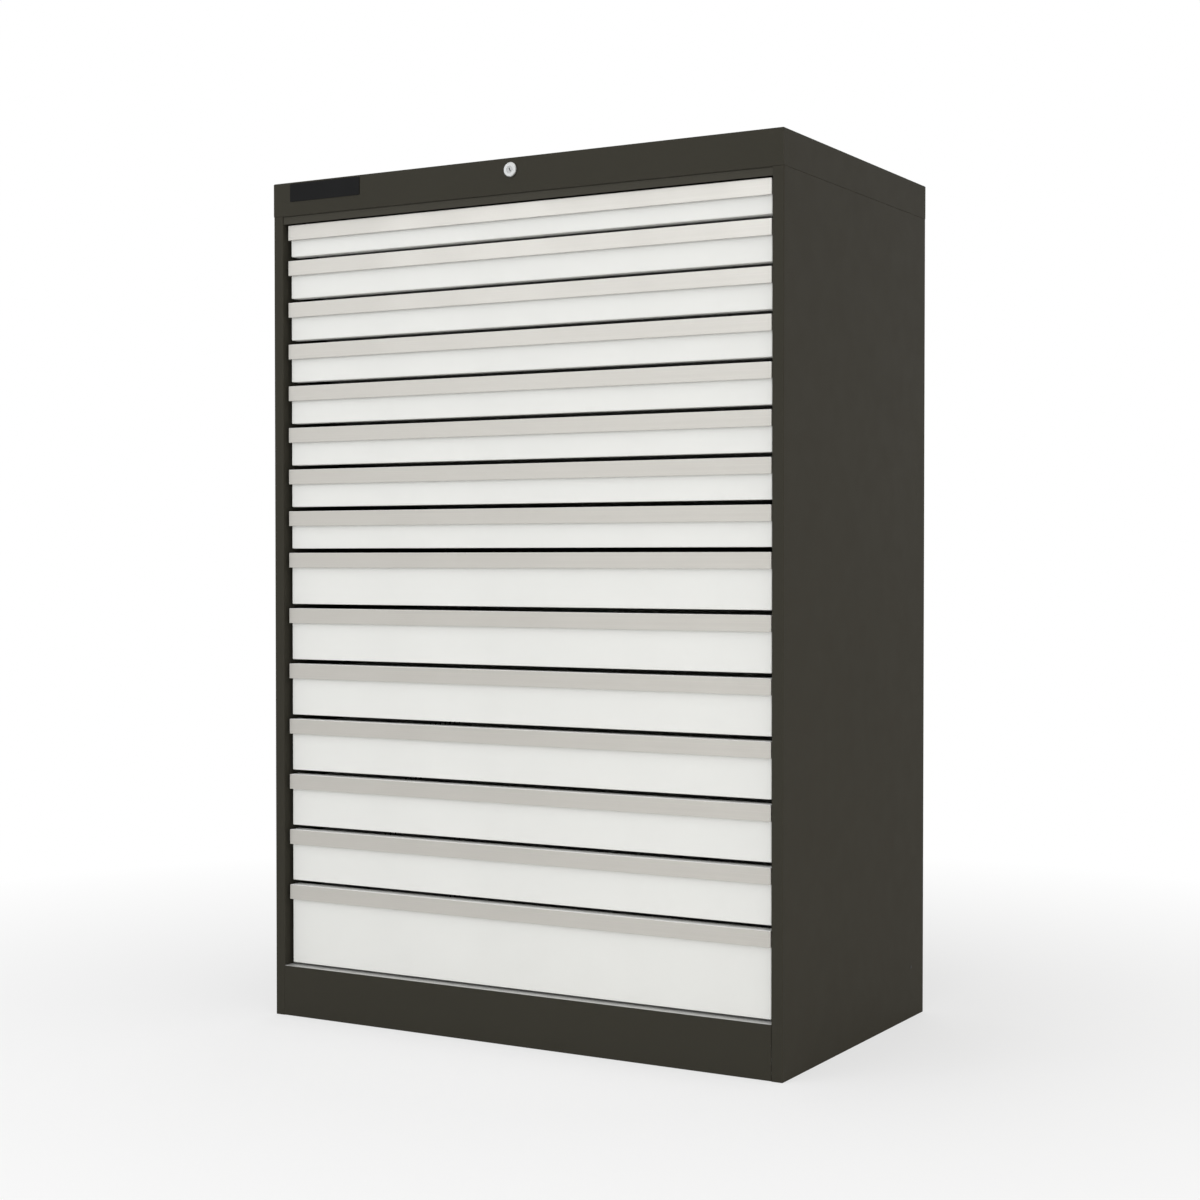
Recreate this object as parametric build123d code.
from build123d import *
import os

# Industrial drawer cabinet: a folded steel housing with fifteen full-extension drawers.
# The front faces -Y, +X is to the right and +Z is up. The origin is on the floor, under the centre.
# Depths are measured backwards from the front plane of the housing.

# Housing
WIDTH = 1010.0
DEPTH = 605.0
HEIGHT = 1500.0
SHEET = 1.5
BEND = 2.0
CAP_HEIGHT = 60.0
CAP_BEVEL = 1.0
POST_WIDTH = 20.0
POST_RETURN = 30.0
REAR_FLANGE = 20.0
PLINTH_HEIGHT = 90.0
PLINTH_FOOT = 30.0
SILL_DEPTH = 60.0
SILL_DROP = 45.0
HEADER_DEPTH = 100.0
HEADER_REAR = 50.0
REVEAL = 2.5
REVEAL_BASE = 1426.4
BACK_FLANGE = 15.0

# Base rails and floor anchors
BASE_RAIL_FOOT = 60.0
BASE_RAIL_SEAT = 25.0
BASE_RAIL_SHEET = 2.5
ANCHOR_X = 455.0
ANCHOR_DEPTHS = (100.0, 530.0)
ANCHOR_RADIUS = 7.0
ACCESS_WIDTH = 30.0

# Uprights
UPRIGHT_WIDTH = 40.0
UPRIGHT_LIP = 12.0
FRONT_UPRIGHT_DEPTH = 32.0
REAR_UPRIGHT_DEPTH = 592.0

# Drawer stack, from the top down
FIRST_TOP = 1424.6
FIRST_PITCH = 63.5
PITCHES = [FIRST_PITCH] + [75.0] * 7 + [100.0] * 6 + [150.0]
FRONT_GAP = 8.0

# Drawer fronts and handles
FRONT_WIDTH = 956.0
FRONT_FACE = 15.5
FRONT_BACK = 36.0
FRONT_SHEET = 1.2
FRONT_CROWN = 6.0
HANDLE_WIDTH = 960.0
HANDLE_FACE = 9.0
HANDLE_DROP = 26.4
HANDLE_WALL = 1.8
HANDLE_END = 1.5
CAVITY_HEIGHT = 22.0

# Drawer boxes
BOX_HALF_WIDTH = 459.5
BOX_BACK = 572.0
BOX_SHEET = 1.0
BOX_FLOOR = 6.0
BOX_TOP = 6.0
HEM_SHEET = 1.8
HEM_HEIGHT = 5.0

# Runners: cabinet rail, middle rail and drawer rail, on one centre line above the front's lower edge
RAIL_CENTRE = 26.0
RAIL_HALF_HEIGHT = 13.5
CABINET_RAIL_TIP = 474.5
CABINET_RAIL_SPAN = (40.0, 594.0)
DRAWER_RAIL_TIP = 469.7
DRAWER_RAIL_SPAN = (40.0, 590.0)
MIDDLE_RAIL_REACH = (462.7, 482.0)
MIDDLE_RAIL_WEB = (471.1, 473.1)
MIDDLE_RAIL_SPAN = (44.0, 586.0)
BALL_RACE = 3.5

# Lock
LOCK_HEIGHT = 1479.5
BEZEL_RADIUS = 12.5
BEZEL_PROUD = 3.5
BEZEL_CHAMFER = 1.2
BARREL_RADIUS = 9.5
BARREL_END = 30.0
BARREL_HOLE = 9.8
PLUG_RADIUS = 6.0
PLUG_BORE = 6.08
PLUG_PROUD = 3.1
KEYWAY = (1.6, 7.0, 5.0)
KEYWAY_TILT = 25.0
SHAFT_RADIUS = 4.0
SHAFT_BORE = 4.1
SHAFT_END = 586.0
LOCK_LIFT = 10.0
CRANK_SPAN = (586.0, 590.5)
PIN_RADIUS = 2.0
PIN_END = 598.0

# Lock bar behind the drawers, with a window for each drawer's catch
BAR_WIDTH = 30.0
LOCK_BAR_SPAN = (592.0, 595.0)
LOCK_BAR_BOTTOM = 100.0
LOCK_BAR_TOP = 1482.0
PIN_SLOT = (8.0, 5.0)
WINDOW_WIDTH = 8.0
WINDOW_BELOW = 2.0
WINDOW_ABOVE = 3.0
CATCH_SHEET = 2.0
CATCH_LIFT = 20.0
CATCH_HEIGHT = 14.0
CATCH_END = 600.0
NOTCH_DEPTH = 9.5
NOTCH_CLEARANCE = 0.7
GUIDE_DRAWERS = (3, 9, 14)
GUIDE_LIFT = 50.0
GUIDE_HEIGHT = 14.0
GUIDE_HALF_WIDTH = 17.0
GUIDE_FOOT = 12.0
GUIDE_FRONT = 591.0
BRACKET_DEPTH = 560.0
BRACKET_FOOT = 25.0
BRACKET_HALF_WIDTH = 18.0
BRACKET_DROP = 32.0

# Worked out from the values above
CAP_BASE = HEIGHT - CAP_HEIGHT
INNER_HALF_WIDTH = WIDTH / 2 - SHEET
CHANNEL_HALF_WIDTH = INNER_HALF_WIDTH - SHEET
OPENING_HALF_WIDTH = WIDTH / 2 - POST_WIDTH
BACK_FACE = DEPTH - SHEET
BACK_INSIDE = BACK_FACE - SHEET
TOPS = [FIRST_TOP - sum(PITCHES[:n]) for n in range(len(PITCHES))]
BOTTOMS = [top - pitch + FRONT_GAP for top, pitch in zip(TOPS, PITCHES)]
CRANK_REACH = LOCK_LIFT / 2
CRANK_RADIUS = CRANK_REACH * 2**0.5


def at(depth):
    """Y of a point at this depth behind the front plane."""
    return depth - DEPTH / 2


def sheet_section(points, thickness, bend=None):
    """Section of a folded sheet that lies on the right of the line through the points."""
    line = FilletPolyline(*points, radius=bend) if bend else Polyline(*points)
    return Face(Wire(line.edges()).offset_2d(thickness, kind=Kind.INTERSECTION, side=Side.RIGHT))


def along_x(face, half_length):
    """Extrude a section drawn in depth and height across the cabinet's width."""
    section = Plane((-half_length, -DEPTH / 2, 0), x_dir=(0, 1, 0), z_dir=(1, 0, 0)) * face
    return extrude(section, amount=2 * half_length, dir=(1, 0, 0))


def along_y(face, start, end):
    """Extrude a section drawn in X and height from one depth to another."""
    section = Plane((0, at(end), 0), x_dir=(1, 0, 0), z_dir=(0, -1, 0)) * face
    return extrude(section, amount=end - start, dir=(0, -1, 0))


def along_z(face, low, high):
    """Extrude a section drawn in X and depth from one height to another."""
    return extrude(Plane((0, -DEPTH / 2, low)) * face, amount=high - low, dir=(0, 0, 1))


def block(x, depth, z):
    """A block between two X values, two depths and two heights."""
    size = [high - low for low, high in (x, depth, z)]
    centre = ((x[0] + x[1]) / 2, at((depth[0] + depth[1]) / 2), (z[0] + z[1]) / 2)
    return Pos(*centre) * Box(*size)


def rod(x, z, radius, start, end):
    """A cylinder along Y between two depths."""
    return Pos(x, at((start + end) / 2), z) * Rot(X=90) * Cylinder(radius, end - start)


def both_sides(right):
    """A right-hand piece and its mirror image."""
    return [right, mirror(right, about=Plane.YZ)]


# Housing panels

def side_panel():
    points = [
        (WIDTH / 2 - REAR_FLANGE, DEPTH),
        (WIDTH / 2, DEPTH),
        (WIDTH / 2, 0),
        (OPENING_HALF_WIDTH, 0),
        (OPENING_HALF_WIDTH, POST_RETURN),
    ]
    return along_z(sheet_section(points, SHEET, BEND), 0, CAP_BASE)


def back_panel():
    points = [
        (BACK_FACE, CAP_BASE),
        (BACK_FACE, SHEET),
        (BACK_FACE - BACK_FLANGE, SHEET),
    ]
    return along_x(sheet_section(points, SHEET, BEND), CHANNEL_HALF_WIDTH)


def top_cap():
    outside = Pos(0, 0, CAP_BASE + CAP_HEIGHT / 2) * Box(WIDTH, DEPTH, CAP_HEIGHT)
    outside = fillet(outside.faces().sort_by(Axis.Z)[-1].edges(), BEND)
    cap = offset(outside, amount=-SHEET, openings=outside.faces().sort_by(Axis.Z)[0])
    cap = chamfer(cap.faces().sort_by(Axis.Z)[0].outer_wire().edges(), CAP_BEVEL)
    return cap - rod(0, LOCK_HEIGHT, BARREL_HOLE, -SHEET, 2 * SHEET)


def header():
    """The channel under the cap. Its lip hangs between the posts, a little behind the front plane."""
    points = [
        (HEADER_DEPTH, CAP_BASE + HEADER_REAR),
        (HEADER_DEPTH, CAP_BASE),
        (REVEAL + SHEET, CAP_BASE),
        (REVEAL + SHEET, REVEAL_BASE),
    ]
    channel = along_x(sheet_section(points, SHEET, BEND), CHANNEL_HALF_WIDTH)
    post_room = block((OPENING_HALF_WIDTH, WIDTH / 2), (0, POST_RETURN), (REVEAL_BASE, CAP_BASE))
    for room in both_sides(post_room):
        channel -= room
    return channel - rod(0, LOCK_HEIGHT, 2 * SHAFT_RADIUS, HEADER_DEPTH - 3 * SHEET, HEADER_DEPTH + SHEET)


def base_plinth():
    points = [
        (PLINTH_FOOT, 0),
        (0, 0),
        (0, PLINTH_HEIGHT),
        (SILL_DEPTH, PLINTH_HEIGHT),
        (SILL_DEPTH, PLINTH_HEIGHT - SILL_DROP),
    ]
    return along_x(sheet_section(points, SHEET, BEND), OPENING_HALF_WIDTH)


def base_rails():
    top = PLINTH_HEIGHT - SHEET
    points = [
        (INNER_HALF_WIDTH - BASE_RAIL_SEAT, top),
        (INNER_HALF_WIDTH, top),
        (INNER_HALF_WIDTH, 0),
        (INNER_HALF_WIDTH - BASE_RAIL_FOOT, 0),
    ]
    section = sheet_section(points, BASE_RAIL_SHEET)
    rail = along_y(section, SILL_DEPTH + SHEET, BACK_FACE - BACK_FLANGE - SHEET)
    for depth in ANCHOR_DEPTHS:
        rail -= Pos(ANCHOR_X, at(depth), BASE_RAIL_SHEET / 2) * Cylinder(ANCHOR_RADIUS, 2 * BASE_RAIL_SHEET)
    return both_sides(rail)


def bottom_pan():
    """The floor of the cabinet, with a square window over each floor anchor."""
    pan = block(
        (-INNER_HALF_WIDTH, INNER_HALF_WIDTH),
        (SILL_DEPTH, BACK_INSIDE),
        (PLINTH_HEIGHT - SHEET, PLINTH_HEIGHT),
    )
    for depth in ANCHOR_DEPTHS:
        for x in (-ANCHOR_X, ANCHOR_X):
            pan -= Pos(x, at(depth), PLINTH_HEIGHT) * Box(ACCESS_WIDTH, ACCESS_WIDTH, 4 * SHEET)
    return pan


# Uprights and runners

def upright(outer_depth, towards_middle):
    """A lipped channel whose web faces the drawers and carries the cabinet rails."""
    inner_depth = outer_depth + towards_middle * UPRIGHT_WIDTH
    lip_x = INNER_HALF_WIDTH - SHEET
    points = [
        (lip_x, outer_depth),
        (OPENING_HALF_WIDTH, outer_depth),
        (OPENING_HALF_WIDTH, inner_depth),
        (lip_x, inner_depth),
        (lip_x, inner_depth + towards_middle * UPRIGHT_LIP),
    ]
    if towards_middle < 0:
        points = points[::-1]
    return along_z(sheet_section(points, SHEET), PLINTH_HEIGHT, CAP_BASE)


def rail(web, tip, centre, span):
    """A channel along Y: the web stands at one X value and the flanges reach to the other."""
    low, high = centre - RAIL_HALF_HEIGHT, centre + RAIL_HALF_HEIGHT
    points = [(tip, high), (web, high), (web, low), (tip, low)]
    if tip > web:
        points = points[::-1]
    return along_y(sheet_section(points, SHEET), *span)


def cabinet_rail(bottom):
    return rail(OPENING_HALF_WIDTH, CABINET_RAIL_TIP, bottom + RAIL_CENTRE, CABINET_RAIL_SPAN)


def drawer_rail(bottom):
    return rail(BOX_HALF_WIDTH, DRAWER_RAIL_TIP, bottom + RAIL_CENTRE, DRAWER_RAIL_SPAN)


def middle_rail(bottom):
    """An I-shaped rail that reaches into both channels, with room for a row of balls in each race."""
    centre = bottom + RAIL_CENTRE
    edge = RAIL_HALF_HEIGHT - SHEET - BALL_RACE
    beam = block(MIDDLE_RAIL_WEB, MIDDLE_RAIL_SPAN, (centre - edge, centre + edge))
    beam += block(MIDDLE_RAIL_REACH, MIDDLE_RAIL_SPAN, (centre + edge - SHEET, centre + edge))
    beam += block(MIDDLE_RAIL_REACH, MIDDLE_RAIL_SPAN, (centre - edge, centre - edge + SHEET))
    return beam


# Drawers

def drawer_box(top, bottom):
    """An open tray of thin sheet, with a folded hem along both side rims."""
    rim = top - BOX_TOP
    outside = block((-BOX_HALF_WIDTH, BOX_HALF_WIDTH), (FRONT_BACK, BOX_BACK), (bottom + BOX_FLOOR, rim))
    tray = offset(outside, amount=-BOX_SHEET, openings=outside.faces().sort_by(Axis.Z)[-1])
    hem_x = (BOX_HALF_WIDTH, BOX_HALF_WIDTH + HEM_SHEET)
    for hem in both_sides(block(hem_x, (FRONT_BACK, BOX_BACK), (rim - HEM_HEIGHT, rim))):
        tray += hem
    return tray


def front_pan(top, bottom):
    """The front, folded on all sides, with a rounded shoulder that leads the fingers in."""
    half = FRONT_WIDTH / 2
    outside = block((-half, half), (FRONT_FACE, FRONT_BACK), (bottom, top - CAVITY_HEIGHT))
    shoulder = outside.edges().filter_by(Axis.X).sort_by(lambda edge: edge.center().Z - edge.center().Y)[-1]
    outside = fillet(shoulder, FRONT_CROWN)
    return offset(outside, amount=-FRONT_SHEET, openings=outside.faces().sort_by(Axis.Y)[-1])


def catch(bottom):
    """The tongue behind the box that reaches through the lock bar, notched from below."""
    low = bottom + CATCH_LIFT
    tongue = block((-CATCH_SHEET / 2, CATCH_SHEET / 2), (BOX_BACK, CATCH_END), (low, low + CATCH_HEIGHT))
    notch = block(
        (-CATCH_SHEET, CATCH_SHEET),
        (LOCK_BAR_SPAN[0] - NOTCH_CLEARANCE, LOCK_BAR_SPAN[1] + NOTCH_CLEARANCE),
        (low - CATCH_SHEET, low + NOTCH_DEPTH),
    )
    return tongue - notch


def handle(top):
    """A full-width pull: a drop lip in front, a flat top and a rear leg, closed by two end plates."""
    points = [
        (HANDLE_FACE, top - HANDLE_DROP),
        (HANDLE_FACE, top),
        (FRONT_BACK, top),
        (FRONT_BACK, top - CAVITY_HEIGHT),
    ]
    half = HANDLE_WIDTH / 2 - HANDLE_END
    pull = along_x(sheet_section(points, HANDLE_WALL), half)
    outline = Polyline(
        (HANDLE_FACE, top),
        (FRONT_BACK, top),
        (FRONT_BACK, top - CAVITY_HEIGHT),
        (FRONT_FACE - HANDLE_END, top - CAVITY_HEIGHT),
        (FRONT_FACE - HANDLE_END, top - HANDLE_DROP),
        (HANDLE_FACE, top - HANDLE_DROP),
        close=True,
    )
    plate = Pos(half + HANDLE_END / 2, 0, 0) * along_x(make_face(outline), HANDLE_END / 2)
    return [pull] + both_sides(plate)


# Lock

def lock_barrel():
    barrel = rod(0, LOCK_HEIGHT, BARREL_RADIUS, 0, BARREL_END)
    bezel = rod(0, LOCK_HEIGHT, BEZEL_RADIUS, -BEZEL_PROUD, 0)
    bezel = chamfer(bezel.edges().sort_by(Axis.Y)[0], BEZEL_CHAMFER)
    return barrel + bezel - rod(0, LOCK_HEIGHT, PLUG_BORE, -2 * BEZEL_PROUD, 2 * BARREL_END)


def lock_plug():
    """The plug, whose keyway leans to the left while the lock is open."""
    width, height, depth = KEYWAY
    plug = rod(0, LOCK_HEIGHT, PLUG_RADIUS, -PLUG_PROUD, BARREL_END)
    return plug - Pos(0, at(-PLUG_PROUD), LOCK_HEIGHT) * Rot(Y=-KEYWAY_TILT) * Box(width, 2 * depth, height)


def lock_shaft():
    """A long rod with a crank at the rear, whose pin stands at the lower left when unlocked."""
    pin_x, pin_z = -CRANK_REACH, LOCK_HEIGHT - CRANK_REACH
    rotor = rod(0, LOCK_HEIGHT, SHAFT_RADIUS, BARREL_END, SHAFT_END)
    slot = SlotCenterToCenter(CRANK_RADIUS, 3 * SHAFT_RADIUS)
    arm = Pos(pin_x / 2, (LOCK_HEIGHT + pin_z) / 2) * Rot(Z=45) * slot
    rotor += along_y(arm, *CRANK_SPAN)
    return rotor + rod(pin_x, pin_z, PIN_RADIUS, CRANK_SPAN[1], PIN_END)


def lock_bar():
    bar = block((-BAR_WIDTH / 2, BAR_WIDTH / 2), LOCK_BAR_SPAN, (LOCK_BAR_BOTTOM, LOCK_BAR_TOP))
    through = (LOCK_BAR_SPAN[0] - SHEET, LOCK_BAR_SPAN[1] + SHEET)
    for bottom in BOTTOMS:
        low = bottom + CATCH_LIFT
        bar -= block(
            (-WINDOW_WIDTH / 2, WINDOW_WIDTH / 2),
            through,
            (low - WINDOW_BELOW, low + CATCH_HEIGHT + WINDOW_ABOVE),
        )
    middle_x, pin_z = -(CRANK_REACH + CRANK_RADIUS) / 2, LOCK_HEIGHT - CRANK_REACH
    length, height = PIN_SLOT
    return bar - block(
        (middle_x - length / 2, middle_x + length / 2), through, (pin_z - height / 2, pin_z + height / 2)
    )


def lock_bar_guide(low):
    """A hat-shaped strap on the back panel that the lock bar slides in."""
    foot = GUIDE_HALF_WIDTH + GUIDE_FOOT
    points = [
        (-foot, BACK_INSIDE),
        (-GUIDE_HALF_WIDTH, BACK_INSIDE),
        (-GUIDE_HALF_WIDTH, GUIDE_FRONT),
        (GUIDE_HALF_WIDTH, GUIDE_FRONT),
        (GUIDE_HALF_WIDTH, BACK_INSIDE),
        (foot, BACK_INSIDE),
    ]
    return along_z(sheet_section(points, SHEET), low, low + GUIDE_HEIGHT)


def shaft_bracket():
    """An angle under the top that carries the rear of the lock shaft."""
    top = HEIGHT - SHEET
    points = [
        (BRACKET_DEPTH - BRACKET_FOOT, top),
        (BRACKET_DEPTH, top),
        (BRACKET_DEPTH, top - BRACKET_DROP),
    ]
    angle = along_x(sheet_section(points, SHEET), BRACKET_HALF_WIDTH)
    return angle - rod(0, LOCK_HEIGHT, SHAFT_BORE, BRACKET_DEPTH - 3 * SHEET, BRACKET_DEPTH + SHEET)


def lock_brackets():
    guides = [lock_bar_guide(BOTTOMS[n - 1] + GUIDE_LIFT) for n in GUIDE_DRAWERS]
    return guides + [shaft_bracket()]


def housing_nodes():
    right = side_panel()
    right_uprights = [upright(FRONT_UPRIGHT_DEPTH, 1), upright(REAR_UPRIGHT_DEPTH, -1)]
    return {
        "left_side_panel": [mirror(right, about=Plane.YZ)],
        "right_side_panel": [right],
        "back_panel": [back_panel()],
        "top_cap": [top_cap()],
        "header": [header()],
        "base_plinth": [base_plinth()],
        "base_rails": base_rails(),
        "bottom_pan": [bottom_pan()],
        "uprights": [piece for one in right_uprights for piece in both_sides(one)],
        "cabinet_rails": [piece for bottom in BOTTOMS for piece in both_sides(cabinet_rail(bottom))],
    }


def lock_nodes():
    return {
        "lock_barrel": [lock_barrel()],
        "lock_plug": [lock_plug()],
        "lock_shaft": [lock_shaft()],
        "lock_bar": [lock_bar()],
        "lock_brackets": lock_brackets(),
    }


def drawer_nodes():
    nodes = {}
    for number, (top, bottom) in enumerate(zip(TOPS, BOTTOMS), 1):
        name = f"drawer_{number:02d}"
        box = [drawer_box(top, bottom), front_pan(top, bottom), catch(bottom)]
        nodes[name] = box + both_sides(drawer_rail(bottom))
        nodes[f"{name}_handle"] = handle(top)
        nodes[f"{name}_middle_rails"] = both_sides(middle_rail(bottom))
    return nodes


os.makedirs("parts", exist_ok=True)
for node, solids in {**housing_nodes(), **lock_nodes(), **drawer_nodes()}.items():
    export_step(Compound(children=solids), f"parts/{node}.step")
